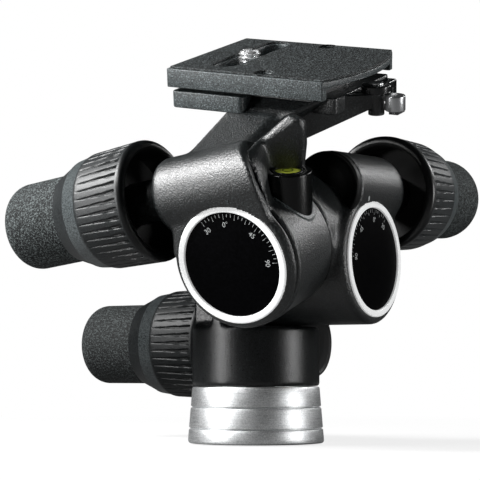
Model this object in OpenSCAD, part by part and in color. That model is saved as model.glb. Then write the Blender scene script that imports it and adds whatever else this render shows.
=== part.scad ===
// Geared three-way tripod head: a pan stage, a front tilt stage and a side
// tilt stage in series, each driven by a worm and turned by its own knob.
// Frame: Z is the pan axis, origin at the centre of the base underside,
// +X is the outward side of dial B (front tilt), -Y is the front (dial A).
// Every stage is drawn level and then turned to the two readings below.

/* [Readings] */
// Front tilt reading, forward positive
front_tilt = 20; // [-30:1:35]
// Side tilt reading, right side down positive
side_tilt = 10; // [-30:1:60]

/* [Base] */
// Diameter of the base at its foot
base_d = 60; // [58:1:70]
// Diameter of the base at its upper edge
base_top_d = 56; // [50:1:57]
// Height of the base
base_h = 24.5; // [20:0.5:30]
// Height of the lower turned groove
groove_1 = 6.4; // [4:0.2:9]
// Height of the upper turned groove
groove_2 = 15.7; // [12:0.2:18]
// Minor diameter of the 3/8 inch tripod thread
thread_d = 8; // [7.8:0.05:8.4]
// Depth of the tripod thread
thread_depth = 13; // [8:0.5:16]
// Outer diameter of the steel thread bush
bush_d = 16; // [13:0.5:20]

/* [Pan column] */
// Diameter of the pan column
column_d = 56; // [55:0.5:60]
// Height of the top of the column above the base foot
column_top = 50.7; // [49:0.1:50.9]
// Height of the front tilt axis
hub_z = 78.9; // [78.5:0.1:84]
// Height of the pan worm axis
pan_worm_z = 44.2; // [44:0.1:45]
// Left face of the pillar that carries the front tilt spindle
pillar_left = 21; // [16:0.5:24]
// Width of that pillar from front to back
pillar_w = 37; // [34:0.5:40]

/* [Worm stages] */
// Distance from wheel axis to worm axis
centre_dist = 30.2; // [30:0.1:31]
// Slope of the two tilt knobs, down and outward
worm_slope = 17.4; // [12:0.1:20]
// Outer diameter of the bronze worm wheels
wheel_d = 47.2; // [45:0.2:47.4]
// Thickness of the worm wheels
wheel_t = 8; // [5:0.5:9]
// Teeth of each worm wheel
wheel_teeth = 48; // [36:1:60]
// Outer diameter of the worm thread
worm_d = 11.8; // [10:0.2:12.4]
// Diameter of the worm shafts
shaft_d = 9; // [7:0.5:9.5]
// Outer diameter of the worm housings
worm_case_d = 32; // [30:0.5:33]
// Distance of the wheel centre behind the dial face
wheel_back = 13.2; // [12.5:0.1:14]
// Diameter of the two tilt spindles
spindle_d = 12; // [10:0.5:14]

/* [Tilt housings] */
// Diameter of the front tilt hub
hub_b_d = 55.6; // [54:0.2:55.8]
// Diameter of the side tilt hub and of its flange
hub_a_d = 56; // [55:0.5:57]
// Distance of dial face B from the pan axis
dial_b_x = 58.6; // [56:0.2:62]
// Distance of dial face A in front of the pan axis
dial_a_y = 63; // [62:0.2:66]
// Sideways place of the side tilt axis
axis_a_x = 27.5; // [26:0.5:29]
// Height of the side tilt axis above the front tilt axis
axis_a_up = 17.6; // [17:0.1:19]
// Distance of the joint face between the tilt housings in front of the front tilt hub
seam_out = 0.2; // [0.1:0.1:1]
// Depth of the front gear flange of the side tilt stage
flange_t = 7; // [5:0.5:8]

/* [Dials] */
// Outer diameter of the bright dial rings
bezel_d = 49.4; // [49:0.1:50]
// Width of the bright dial rings
bezel_w = 2.8; // [2:0.1:3.4]
// Height of the dial ring above the flange face
bezel_proud = 0.7; // [0.3:0.1:1.2]
// Thickness of the dial discs
dial_t = 2; // [1.5:0.1:3]

/* [Knobs] */
// Diameter of the rubber grip
grip_d = 37.6; // [35:0.2:38]
// Distance of the outer end of the grip from the worm centre
grip_end = 107; // [98:0.5:112]
// Rounding of the outer end of the grip
grip_round = 7.5; // [4:0.5:10]
// Distance of the collar rim from the worm centre
rim_s = 34.6; // [33:0.2:36]
// Diameter of the collar rim
rim_d = 51.6; // [50:0.2:53]
// Length of the ribbed band of the collar
rib_len = 22; // [18:0.5:24]
// Number of ribs around the collar
rib_count = 44; // [30:1:60]
// Height of the ribs
rib_h = 0.9; // [0.5:0.1:1.4]
// Length of the smooth band of the collar
band_len = 8; // [6:0.5:10]
// Length of the shoulder that closes on the grip
shoulder_len = 8.5; // [6:0.5:10]

/* [Level] */
// Diameter of the bubble level boss
level_d = 19.8; // [18:0.2:20.4]
// Height of the level boss above the side tilt axis
level_up = 34.7; // [33:0.1:37]
// Diameter of the level glass
vial_d = 12.6; // [10:0.2:15]

/* [Platform and plate] */
// Height of the plate top above the side tilt axis
plate_up = 69.7; // [68:0.1:74]
// Thickness of the quick-release plate
plate_t = 8.8; // [8:0.2:10]
// Thickness of the top leaf of the plate
leaf_t = 3.4; // [3:0.1:4]
// Left edge of the plate top
plate_left = -23; // [-25:0.5:-20]
// Right edge of the plate where its curved end starts
plate_right = 50.5; // [48:0.5:52]
// Bulge of the curved end of the plate
plate_bulge = 8; // [5:0.1:9]
// Front edge of the plate
plate_front = -26; // [-27:0.5:-25]
// Back edge of the plate
plate_back = 42.5; // [40:0.5:46]
// Width of the slots in the plate
slot_w = 10.4; // [10.2:0.1:11]
// Sideways place of the camera screw and its slot
screw_x = -2; // [-4:0.5:0]
// Place of the camera screw along its slot
screw_y = 9; // [-2:0.5:24]
// Diameter of the 3/8 inch camera screw
screw_d = 9.52; // [9.4:0.01:9.6]
// Diameter of the plain neck of the camera screw in its slot
screw_neck_d = 8.4; // [6:0.1:9]
// Height of the camera screw above the plate
screw_up = 1.8; // [1:0.2:12]
// Depth of the slot across the end of the camera screw
screw_slot = 0.7; // [0.3:0.1:0.8]
// Width of that slot
screw_slot_w = 1.8; // [1:0.1:2.4]
// Thickness of the platform
platform_t = 7.2; // [6.6:0.2:8]
// Diameter of the lever head
lever_head_d = 12.6; // [10:0.2:13]
// Diameter of the barrel that carries the lever
barrel_d = 6.8; // [6:0.1:8]
// Diameter of the silver safety catch
catch_d = 8.6; // [7:0.2:9]

/* [Hidden] */
$fn = 64;
fit = 0.05;                       // running fit, radial
seat = 0.02;                      // close seat within one stage, radial
gap = 0.3;                        // gap between faces that pass each other
axis_a_z = hub_z + axis_a_up;
column_z0 = base_h + gap;
seam_y = hub_b_d / 2 + seam_out;
wheel_case_r = wheel_d / 2 + 0.4;
case_r = worm_case_d / 2;
wheel_a_y = -dial_a_y + wheel_back;
wheel_b_x = dial_b_x - wheel_back;
bezel_deep = 2.6;
bezel_in_d = bezel_d - 2 * bezel_w;
case_end = 28;                    // end of a worm housing towards its knob
case_tail = 15;                   // other end of a worm housing
neck_d = 18;                      // neck that carries the collar
neck_end = 55;
web_s0 = 46; web_t = 6;           // web of the collar on the neck
shaft_r = shaft_d / 2;
grip_r = grip_d / 2;
core_r = grip_r - 4.6;
grip_s0 = neck_end + 1.2;
rib_s0 = rim_s + 2.4;
band_s0 = rib_s0 + rib_len;
shoulder_s0 = band_s0 + band_len;
collar_end = shoulder_s0 + shoulder_len;
collar_bore = grip_r + gap;
rim_r = rim_d / 2;
band_r = rim_r - 1.1;
shoulder_r = rim_r - 2.6;
plate_z1 = axis_a_z + plate_up;
plate_z0 = plate_z1 - plate_t;
seat_h = 1.7;                     // height of the raised seat under the plate
platform_z1 = plate_z0 - seat_h;
platform_front = plate_front + 1.6;
platform_left = plate_left + 1.4;
pan_tail = 11.2;                  // shorter tail of the pan worm housing
platform_z0 = platform_z1 - platform_t;
plate_mid = (plate_front + plate_back) / 2;
plate_w = plate_back - plate_front;
bulge_r = (pow(plate_w / 2, 2) + pow(plate_bulge, 2)) / (2 * plate_bulge);
flange_back = -dial_a_y + flange_t;
hub_a_back = -seam_y - gap / 2;
neck_front = -seam_y + gap / 2;
web_d = 15;                       // depth of the web beside each flange
web_h = 22;                       // height of that web
level_x = axis_a_x + 13.1;
level_y = -seam_y - 0.4 - level_d / 2;
level_z = axis_a_z + level_up;
lever_x = plate_right + plate_bulge + 0.9;
lever_y = 6;
lever_z = platform_z1 - 0.1;       // underside of the lever head
catch_x = lever_x + barrel_d / 2 + catch_d / 2 + 0.9;
catch_y = lever_y;
wrap_a = 33.7;                    // direction of the bracket seen from above
half_slot_x = 21;
wheel_screw_r = 14;               // ring of the screws that hold the pan wheel
wheel_screw_d = 4;
wheel_head_d = 7;
platform_screw_d = 5;
platform_head_d = 8.5;
screw_head_h = 3.6;
slot_y0 = plate_front + 14.5;
slot_y1 = plate_back - 9;
pillar_r = -wheel_a_y - rim_r - 0.4;   // round of the pillar, clear of the side collar
pillar_step = 6.5;                // the pillar widens to the full hub from here
pad_t = 0.9;                      // rubber pad on the leaf
lobe_x = axis_a_x + 8.6;
lobe_lean = 6;                    // lean of the lobe to the left as it goes back
screw_rows = [platform_front + 5, platform_front + 17];
lobe_z = platform_z0 - 4.6;
lobe_deep = 9 - hub_a_back + platform_front - seat;

// ---- placing -------------------------------------------------------------
module tilt_frame() {
  translate([0, 0, hub_z]) rotate([front_tilt, 0, 0]) translate([0, 0, -hub_z]) children();
}
module side_frame() {
  tilt_frame() translate([axis_a_x, 0, axis_a_z]) rotate([0, side_tilt, 0])
    translate([-axis_a_x, 0, -axis_a_z]) children();
}
// Worm frames: +Z runs along the worm from its centre out to the knob.
module worm_frame_p() translate([0, centre_dist - 1.1, pan_worm_z]) rotate([0, -90, 0]) children();
module worm_level_r() translate([wheel_b_x, sin(worm_slope) * centre_dist, hub_z + cos(worm_slope) * centre_dist])
  rotate([-(90 + worm_slope), 0, 0]) children();
module worm_level_l() translate([axis_a_x - sin(worm_slope) * centre_dist, wheel_a_y, axis_a_z + cos(worm_slope) * centre_dist])
  rotate([0, -(90 + worm_slope), 0]) children();
// Wheel frames: +Z runs along the wheel axis out to the dial.
module axis_b_frame(x = 0) translate([x, 0, hub_z]) rotate([0, 90, 0]) children();
module axis_a_frame(y = 0) translate([axis_a_x, y, axis_a_z]) rotate([90, 0, 0]) children();

// ---- shared pieces -------------------------------------------------------
module worm_wheel(bore_d, wheel_d = wheel_d) {
  pitch = 360 / wheel_teeth;
  r1 = wheel_d / 2; r0 = r1 - 1.5;
  difference() {
    translate([0, 0, -wheel_t / 2]) linear_extrude(wheel_t)
      polygon([for (i = [0:wheel_teeth - 1]) for (k = [[-0.36, r0], [-0.16, r1], [0.16, r1], [0.36, r0]])
        [k[1] * cos((i + k[0]) * pitch), k[1] * sin((i + k[0]) * pitch)]]);
    cylinder(d = bore_d, h = wheel_t + 2, center = true);
  }
}
module worm_shaft(tail = case_tail) {
  pitch = PI * (wheel_d - 1.5) / wheel_teeth;
  turns = 5; r1 = worm_d / 2; r0 = r1 - 1.6; half = turns * pitch / 2;
  rotate_extrude() polygon(concat(
    [[0, -tail + 1.4], [shaft_r - 0.5, -tail + 1.4], [shaft_r, -tail + 1.9], [shaft_r, -half - 0.6], [r0, -half - 0.6]],
    [for (i = [0:turns - 1]) for (k = [[0.12, 0], [0.38, 1], [0.62, 1], [0.88, 0]])
      [k[1] == 1 ? r1 : r0, -half + (i + k[0]) * pitch]],
    [[r0, half + 0.6], [shaft_r, half + 0.6], [shaft_r, grip_end - 9], [0, grip_end - 9]]));
}
module knob_core() {
  difference() {
    translate([0, 0, grip_s0 + 0.6]) cylinder(r = core_r - seat, h = grip_end - 5 - grip_s0 - 0.6);
    translate([0, 0, grip_s0 - 1]) cylinder(r = shaft_r + seat, h = grip_end - 9 - grip_s0 + 1 + seat);
  }
}
module knob_grip() {
  rotate_extrude() polygon(concat(
    [[core_r, grip_s0], [grip_r - 0.6, grip_s0], [grip_r, grip_s0 + 0.6]],
    [for (a = [0:9:90]) [grip_r - grip_round + grip_round * cos(a), grip_end - grip_round + grip_round * sin(a)]],
    [[0, grip_end], [0, grip_end - 5], [core_r, grip_end - 5]]));
}
module declutch_collar() {
  union() {
    rotate_extrude() polygon([
      [neck_d / 2 + fit, web_s0], [neck_d / 2 + fit, web_s0 + web_t], [collar_bore, web_s0 + web_t + 2],
      [collar_bore, collar_end], [collar_bore + 0.5, collar_end],
      [shoulder_r, shoulder_s0], [band_r - 0.3, band_s0], [rim_r - rib_h - 0.2, band_s0 - 0.6],
      [rim_r - rib_h, rib_s0], [rim_r - 0.1, rib_s0 - 0.1], [rim_r, rim_s + 1.2], [rim_r - 0.7, rim_s],
      [rim_r - 2.2, rim_s], [rim_r - 3, rim_s + 0.9], [rim_r - 3.6, web_s0 - 2.5], [rim_r - 6, web_s0]]);
    difference() {
      translate([0, 0, rib_s0 - 0.4]) linear_extrude(rib_len + 0.2)
        polygon([for (i = [0:rib_count - 1]) for (k = [[-0.33, 0], [-0.2, 1], [0.2, 1], [0.33, 0]])
          let (a = (i + k[0]) * 360 / rib_count, r = rim_r - 0.35 - (k[1] == 1 ? 0 : rib_h))
          [r * cos(a), r * sin(a)]]);
      translate([0, 0, rib_s0 - 1]) cylinder(r = rim_r - rib_h - 1.2, h = rib_len + 3);
    }
  }
}
// Bores of a worm housing: worm space, journal and the open or closed tail
module worm_bores(tail) {
  translate([0, 0, -tail]) cylinder(r = worm_d / 2 + 0.5, h = tail + 11.5);
  translate([0, 0, 11]) cylinder(r = shaft_r + fit, h = neck_end);
}
module worm_case(tail, q = 0, g = 0) {
  rotate_extrude() polygon(concat(
    [[0, -tail - g]],
    q > 0 ? [for (a = [-90:15:0]) [case_r + g - q + q * cos(a), -tail - g + q + q * sin(a)]] : [[case_r + g, -tail - g]],
    [for (a = [0:15:90]) [case_r + g - 4 + 4 * cos(a), case_end + g - 4 + 4 * sin(a)]],
    [[neck_d / 2 + g, case_end + g], [neck_d / 2 + g, neck_end], [0, neck_end]]));
}
module worm_cap(tail = case_tail) {
  union() {
    translate([0, 0, -tail - 3.2]) rotate_extrude() polygon([
      [0, 0], [case_r - 2.2, 0], [case_r - 0.4, 1.4], [case_r - 0.4, 3.2], [0, 3.2]]);
    translate([0, 0, -tail - 0.5]) cylinder(r = worm_d / 2 + 0.45, h = 1.6);
  }
}
module bezel_ring(axis_out) {
  translate([0, 0, axis_out - bezel_deep]) rotate_extrude() polygon([
    [bezel_in_d / 2, 0], [bezel_d / 2, 0], [bezel_d / 2, bezel_deep + bezel_proud - 0.4],
    [bezel_d / 2 - 0.5, bezel_deep + bezel_proud], [bezel_in_d / 2 + 0.5, bezel_deep + bezel_proud],
    [bezel_in_d / 2, bezel_deep + bezel_proud - 0.4]]);
}
module dial_disc(axis_out) {
  translate([0, 0, axis_out - dial_t]) cylinder(r = bezel_in_d / 2 - 0.15, h = dial_t);
  translate([0, 0, axis_out - 6.4]) cylinder(r = spindle_d / 2 + 3, h = 6.4);
}
// Gear chamber behind a dial: wheel space, dial ring seat
module gear_chamber(face) {
  translate([0, 0, face - wheel_back - wheel_t / 2 - 0.8]) cylinder(r = wheel_case_r, h = wheel_back + wheel_t / 2 + 0.9 - bezel_deep);
  translate([0, 0, face - bezel_deep]) cylinder(r = bezel_d / 2 + seat, h = bezel_deep + 2);
}

// ---- base ----------------------------------------------------------------
module base_ring() {
  r0 = base_d / 2; r1 = base_top_d / 2; m = (r0 - r1) / base_h; g = 0.45;
  color("silver") difference() {
    rotate_extrude() polygon([
      [0, 0], [r0 - 0.8, 0], [r0, 0.8],
      [r0 - m * (groove_1 - g), groove_1 - g], [r0 - m * groove_1 - 0.7, groove_1], [r0 - m * (groove_1 + g), groove_1 + g],
      [r0 - m * (groove_2 - g), groove_2 - g], [r0 - m * groove_2 - 0.7, groove_2], [r0 - m * (groove_2 + g), groove_2 + g],
      [r1 + m * 0.6, base_h - 0.6], [r1 - 0.5, base_h],
      [wheel_case_r - fit, base_h], [wheel_case_r - fit, pan_worm_z - wheel_t / 2 - gap], [0, pan_worm_z - wheel_t / 2 - gap]]);
    translate([0, 0, -1]) cylinder(d = bush_d + 2 * seat, h = thread_depth + 3);
    translate([0, 0, -1]) cylinder(d = thread_d, h = thread_depth + 1);
    for (a = [0:120:359]) rotate(a) translate([wheel_screw_r, 0, pan_worm_z - wheel_t / 2 - 10])
      cylinder(d = wheel_screw_d + 2 * seat, h = 12);
  }
}
module thread_bush() {
  color("dimgray") difference() {
    cylinder(d = bush_d, h = thread_depth + 1.9);
    translate([0, 0, -1]) cylinder(d = thread_d, h = thread_depth + 1);
  }
}
module pan_wheel() {
  color("darkgoldenrod") difference() {
    translate([0, 0, pan_worm_z]) worm_wheel(spindle_d, wheel_d - 2.2);
    for (a = [0:120:359]) rotate(a) translate([wheel_screw_r, 0, 0]) {
      translate([0, 0, pan_worm_z - wheel_t]) cylinder(d = wheel_screw_d + 4 * seat, h = 2 * wheel_t);
      translate([0, 0, pan_worm_z]) cylinder(d = wheel_head_d + 0.4, h = wheel_t);
    }
  }
}
module wheel_screws() {
  color("gray") for (a = [0:120:359]) rotate(a) translate([wheel_screw_r, 0, 0]) {
    translate([0, 0, pan_worm_z]) cylinder(d = wheel_head_d, h = screw_head_h);
    translate([0, 0, pan_worm_z - wheel_t / 2 - 9]) cylinder(d = wheel_screw_d, h = wheel_t / 2 + 9.2);
  }
}

// ---- pan stage -----------------------------------------------------------
module pan_column() {
  cr = column_d / 2;
  color("#3a4043") difference() {
    union() {
      translate([0, 0, column_z0]) rotate_extrude() polygon([[0, 0], [cr - 0.5, 0], [cr, 0.5], [cr, column_top - column_z0 - 0.8], [cr - 0.8, column_top - column_z0], [0, column_top - column_z0]]);
      worm_frame_p() worm_case(pan_tail);
      intersection() {
        union() {
          translate([-pillar_left, -pillar_w / 2, column_top - 4]) cube([pillar_left - gap, pillar_w, hub_z - column_top + 4]);
          translate([-pillar_step, -cr, column_top - 4]) cube([pillar_step - gap, 2 * cr, hub_z - column_top + 4]);
        }
        cylinder(r = cr, h = hub_z + 1);
      }
      axis_b_frame() rotate_extrude() polygon([[0, -pillar_left], [pillar_r - 1, -pillar_left], [pillar_r, -pillar_left + 1],
        [pillar_r, -pillar_step], [hub_b_d / 2, -pillar_step + 3], [hub_b_d / 2, -gap], [0, -gap]]);
    }
    translate([0, 0, column_z0 - 1]) cylinder(r = wheel_case_r, h = pan_worm_z + wheel_t / 2 + gap - column_z0 + 1);
    worm_frame_p() worm_bores(pan_tail + 1);
    axis_b_frame(-pillar_left + 3) cylinder(d = spindle_d + 2 * seat, h = pillar_left + 2);
    axis_b_frame(-pillar_left - 1) cylinder(d = spindle_d + 8, h = 4);
  }
}
module pan_worm_cap() color("#2b2f31") difference() {
  worm_frame_p() worm_cap(pan_tail);
  translate([0, 0, -1]) cylinder(d = column_d + 2 * seat, h = hub_z);
}
module pillar_cap() color("#2b2f31") axis_b_frame(-pillar_left - 1.2) rotate_extrude()
  polygon([[0, 0], [spindle_d / 2 + 2.6, 0], [spindle_d / 2 + 3.9, 1.2], [spindle_d / 2 + 3.9, 4.2], [0, 4.2]]);
module spindle_b() color("silver") axis_b_frame(-pillar_left + 3.02) cylinder(d = spindle_d, h = dial_b_x - 3 + pillar_left - 3.02);
module wheel_b() color("darkgoldenrod") axis_b_frame(wheel_b_x) worm_wheel(spindle_d + 2 * seat);
module dial_b() color("#101113") axis_b_frame() difference() {
  dial_disc(dial_b_x);
  translate([0, 0, dial_b_x - 8]) cylinder(d = spindle_d + 2 * seat, h = 5.02);
}
module worm_p() color("silver") worm_frame_p() worm_shaft(pan_tail);
module core_p() color("#202224") worm_frame_p() knob_core();
module grip_p() color("#3c4244") worm_frame_p() knob_grip();
module collar_p() color("#474d50") worm_frame_p() declutch_collar();

// ---- front tilt stage ----------------------------------------------------
module tilt_housing() {
  color("#3a4043") tilt_frame() difference() {
    union() {
      axis_b_frame() rotate_extrude() polygon([[0, 0], [hub_b_d / 2 - 0.6, 0], [hub_b_d / 2, 0.6],
        [hub_b_d / 2, dial_b_x - 0.9], [hub_b_d / 2 - 0.9, dial_b_x], [0, dial_b_x]]);
      translate([dial_b_x - 0.9 - web_d, 0, hub_z]) cube([web_d, hub_b_d / 2, web_h]);
      worm_level_r() worm_case(case_tail);
      axis_a_frame(-10) cylinder(d = hub_a_d - 0.8, h = -10 - neck_front);
    }
    axis_b_frame(-1) cylinder(d = spindle_d + 2 * fit, h = dial_b_x);
    axis_b_frame() gear_chamber(dial_b_x);
    worm_level_r() worm_bores(case_tail + 1);
    axis_a_frame(14) cylinder(d = spindle_d + 2 * seat, h = 60);
  }
}
module bezel_b() color("white") tilt_frame() axis_b_frame() bezel_ring(dial_b_x);
// Thin painted tick on the round of a worm housing
module tick_shell() difference() {
  translate([0, 0, -10]) cylinder(r = case_r + 0.25, h = 14);
  translate([0, 0, -11]) cylinder(r = case_r + seat, h = 16);
}
module index_b() color("white") tilt_frame() intersection() {
  worm_level_r() tick_shell();
  translate([dial_b_x, -0.5, hub_z + bezel_d / 2 + 0.8]) cube([5, 1, 2]);
}
module tilt_worm_cap() color("#33383b") tilt_frame() difference() {
  worm_level_r() worm_cap();
  axis_b_frame(-1) cylinder(d = hub_b_d + 2 * seat, h = dial_b_x + 4);
  axis_a_frame(-9.5) cylinder(d = hub_a_d - 0.8 + 2 * seat, h = 20);
}
module spindle_a() color("silver") tilt_frame() axis_a_frame(13.98) cylinder(d = spindle_d, h = dial_a_y - 3 + 13.98);
module wheel_a() color("darkgoldenrod") tilt_frame() axis_a_frame(wheel_a_y) worm_wheel(spindle_d + 2 * seat);
module dial_a() color("#101113") tilt_frame() axis_a_frame() difference() {
  dial_disc(dial_a_y);
  translate([0, 0, dial_a_y - 8]) cylinder(d = spindle_d + 2 * seat, h = 5.02);
}
module worm_r() color("silver") tilt_frame() worm_level_r() worm_shaft();
module core_r() color("#202224") tilt_frame() worm_level_r() knob_core();
module grip_r() color("#3c4244") tilt_frame() worm_level_r() knob_grip();
module collar_r() color("#474d50") tilt_frame() worm_level_r() declutch_collar();

// ---- side tilt stage -----------------------------------------------------
// Arm from the worm housing up and back to the platform, grown for its cut
module arm_shape(g = 0) hull() {
  translate([axis_a_x - 21.5 - g, wheel_a_y - 7, axis_a_z + 27]) cube([22 + 2 * g, 21 + g, 9.5]);
  translate([axis_a_x - 23 - g, platform_front, platform_z0 - 2]) cube([31.5 + 2 * g, 26 + g, 2]);
}
// Front flange, worm housing and the arm that leans back to the platform
module gear_housing_a() {
  color("#3a4043") side_frame() difference() {
    union() {
      axis_a_frame(flange_back) rotate_extrude() polygon([[0, 0], [hub_a_d / 2, 0], [hub_a_d / 2, flange_t - 0.9], [hub_a_d / 2 - 0.9, flange_t], [0, flange_t]]);
      worm_level_l() worm_case(case_tail - 1, 5);
      translate([axis_a_x - hub_a_d / 2, -dial_a_y + 0.9, axis_a_z]) cube([hub_a_d / 2, web_d, web_h]);
      arm_shape();
    }
    axis_a_frame() gear_chamber(dial_a_y);
    worm_level_l() worm_bores(case_tail - 3);
    translate([axis_a_x, flange_back, axis_a_z]) rotate([-90, 0, 0]) cylinder(d = hub_a_d + 2 * seat, h = 40);
  }
}
// Rounded end of the lobe at a depth behind its front face
module lobe_disc(y, t) translate([lobe_x, hub_a_back - 9 + y, lobe_z]) rotate([-90, 0, 0]) {
  translate([0, 0, 0.8]) cylinder(r = 9.6, h = t - 1.6, $fn = 32);
  cylinder(r = 8.6, h = t, $fn = 32);
}
module hub_a() {
  color("#5a6164") side_frame() difference() {
    union() {
      axis_a_frame(hub_a_back) cylinder(d = hub_a_d, h = -flange_back + hub_a_back - seat);
      translate([level_x, level_y, axis_a_z]) cylinder(d = level_d, h = level_up);
      hull() {
        lobe_disc(0, 3);
        translate([lobe_x - 13, hub_a_back - 9, axis_a_z + 18]) cube([19, 9, 2]);
      }
      hull() {
        lobe_disc(0, 3);
        translate([-lobe_lean, 0, 0]) lobe_disc(lobe_deep - 3, 3);
        translate([1, 0, -6]) lobe_disc(0, 3);
      }
    }
    axis_a_frame() gear_chamber(dial_a_y);
    axis_a_frame(1) cylinder(d = spindle_d + 2 * fit, h = dial_a_y);
    worm_level_l() worm_case(case_tail - 1, 5, seat);
    worm_level_l() translate([0, 0, rim_s - 4]) cylinder(r = rim_r + 1, h = 80);
    arm_shape(seat);
    translate([axis_a_x - 60, -dial_a_y - 1, axis_a_z - 1]) cube([60 - hub_a_d / 2 + 0.5, web_d + 1.9 + seat, web_h + 4]);
    translate([axis_a_x - hub_a_d / 2 - 1, -dial_a_y - 1, axis_a_z - seat]) cube([hub_a_d / 2 + 1 + seat, web_d + 1.9 + seat, web_h + 2 * seat]);
    translate([level_x, level_y, level_z - 4]) cylinder(d = vial_d + 2 * seat, h = 6);
  }
}
module bezel_a() color("white") side_frame() axis_a_frame() bezel_ring(dial_a_y);
module index_a() color("white") side_frame() intersection() {
  worm_level_l() tick_shell();
  translate([axis_a_x - 0.5, -dial_a_y - 5, axis_a_z + bezel_d / 2 + 0.8]) cube([1, 5, 2]);
}
module level_glass() color("yellowgreen") side_frame() translate([level_x, level_y, level_z - 4]) rotate_extrude()
  polygon([[0, 0], [vial_d / 2, 0], [vial_d / 2, 3.6], [vial_d / 2 - 1, 4.1], [0, 4.5]]);
module worm_l() color("silver") side_frame() worm_level_l() worm_shaft(case_tail - 4);
module core_l() color("#202224") side_frame() worm_level_l() knob_core();
module grip_l() color("#3c4244") side_frame() worm_level_l() knob_grip();
module collar_l() color("#474d50") side_frame() worm_level_l() declutch_collar();

// ---- platform and quick release ------------------------------------------
module platform() {
  color("#3a4043") side_frame() difference() {
    union() {
      translate([platform_left, platform_front, platform_z0]) cube([plate_right - platform_left - 1, plate_back - platform_front - 2, platform_t]);
      translate([plate_left + 9, plate_front + 9, platform_z0]) cube([plate_right - plate_left - 18, plate_w - 18, platform_t + seat_h]);
    }
    for (y = screw_rows) translate([axis_a_x - 7, y, platform_z0 - 1]) {
      cylinder(d = platform_screw_d + 2 * seat, h = platform_t + 4);
      translate([0, 0, 5]) cylinder(d = platform_head_d + 0.5, h = platform_t);
    }
  }
}
// Bracket under the platform that reaches out to the lever, with its barrel
module platform_bracket() {
  color("#3a4043") side_frame() difference() {
    union() {
      intersection() {
        translate([axis_a_x + 6.5, -14, 0]) rotate(wrap_a) translate([-4, 0, 0]) rotate([90, 0, 0]) mirror([0, 0, 1]) linear_extrude(5)
          polygon([[0, platform_z0 - 13], [5, platform_z0 - 11.5], [35, platform_z0 + 1], [35, platform_z1 - 0.5], [0, platform_z1 - 0.5]]);
        union() {
          translate([0, -60, platform_z0 - 20]) cube([80, 100, 20 - seat]);
          translate([plate_right - 1 + seat, -60, platform_z0 - 1]) cube([40, 100, 20]);
        }
      }
      translate([lever_x, lever_y, platform_z0 - 2.4]) cylinder(d = barrel_d, h = platform_t + 2.2);
      translate([plate_right - 1 + seat, lever_y - 1, platform_z0]) cube([lever_x - plate_right + 1, 4.4, platform_t - 0.4]);
      translate([lever_x - 1, lever_y + 1.4, platform_z0 - 1.4]) cube([3, catch_d / 2 + 1.2, 2.2]);
      translate([lever_x - 1, lever_y + catch_d / 2 + 0.3, platform_z0 - 1.4]) cube([catch_x - lever_x + 2, 2.3, 2.2]);
      translate([catch_x - 2, catch_y - 2, platform_z0 - 1.4]) cube([4, catch_d / 2 + 3, 1.2]);
    }
    arm_shape(seat);
    translate([lever_x, lever_y, platform_z0 - 4]) cylinder(d = 3 + 2 * seat, h = 14);
    translate([catch_x, catch_y, platform_z0 - 3]) cylinder(d = 2 + 2 * fit, h = 5);
  }
}
module platform_screws() {
  color("gray") side_frame() for (y = screw_rows) translate([axis_a_x - 7, y, platform_z0]) {
    cylinder(d = platform_screw_d, h = 5.1);
    translate([0, 0, 5]) cylinder(d = platform_head_d, h = screw_head_h);
  }
}
module lever() {
  color("#17191b") side_frame() difference() {
    union() {
      translate([lever_x, lever_y, lever_z]) cylinder(d = lever_head_d, h = 3.4);
      translate([lever_x - 1.5, lever_y, lever_z]) cube([5, 13, 3.4]);
      translate([lever_x - 1.5, lever_y + 9, lever_z - 6]) cube([5, 4.5, 9.4]);
    }
    translate([lever_x, lever_y, lever_z - 1]) cylinder(d = 3 + 2 * fit, h = 6);
  }
}
module lever_pin() color("silver") side_frame() translate([lever_x, lever_y, 0]) {
  translate([0, 0, platform_z0 - 2.2]) cylinder(d = 3, h = lever_z + 3.5 - platform_z0 + 2.2 + 0.1);
  translate([0, 0, lever_z + 3.5]) cylinder(d = 6, h = 0.6);
}
module safety_catch() color("silver") side_frame() translate([catch_x, catch_y, 0]) {
  translate([0, 0, platform_z0]) cylinder(d = catch_d, h = platform_t - 0.5);
  translate([0, 0, platform_z0 - 1.4]) cylinder(d = 2, h = 2);
}
module plate_outline(inset = 0, side = 0) {
  intersection() {
    translate([plate_left + side, plate_front + inset]) square([plate_right + plate_bulge - plate_left, plate_w - 2 * inset]);
    translate([plate_right + plate_bulge - bulge_r, plate_mid]) circle(r = bulge_r - inset / 2, $fn = 180);
  }
}
module slot_2d(y0, y1, w) {
  translate([0, y0]) circle(d = w); translate([0, y1]) circle(d = w);
  translate([-w / 2, y0]) square([w, y1 - y0]);
}
module half_slots_2d(w) for (y = [plate_front + 4.8, plate_back - 4.8])
  translate([half_slot_x, y]) circle(d = w);
module plate_body() {
  color("#3a3f42") side_frame() difference() {
    union() {
      translate([0, 0, plate_z1 - leaf_t]) linear_extrude(leaf_t - pad_t) plate_outline();
      translate([plate_left + 0.3, plate_front + 0.3, plate_z0]) cube([plate_right - plate_left - 0.8, plate_w - 0.6, plate_t - leaf_t + 0.5]);
    }
    translate([0, 0, plate_z0 - 1]) linear_extrude(plate_t + 2) translate([screw_x, 0]) slot_2d(slot_y0, slot_y1, slot_w);
    translate([screw_x, 0, plate_z0 - 1]) linear_extrude(1 + 3.6) slot_2d(slot_y0, slot_y1, slot_w + 6.4);
    translate([0, 0, plate_z1 - leaf_t]) linear_extrude(leaf_t) half_slots_2d(slot_w - 2.8);
  }
}
module plate_pad() {
  color("#2c3033") side_frame() translate([0, 0, plate_z1 - pad_t]) linear_extrude(pad_t) difference() {
    plate_outline(2.6, 2);
    translate([screw_x, 0]) slot_2d(slot_y0, slot_y1, slot_w + 1.6);
    half_slots_2d(slot_w - 2.4);
  }
}
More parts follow.
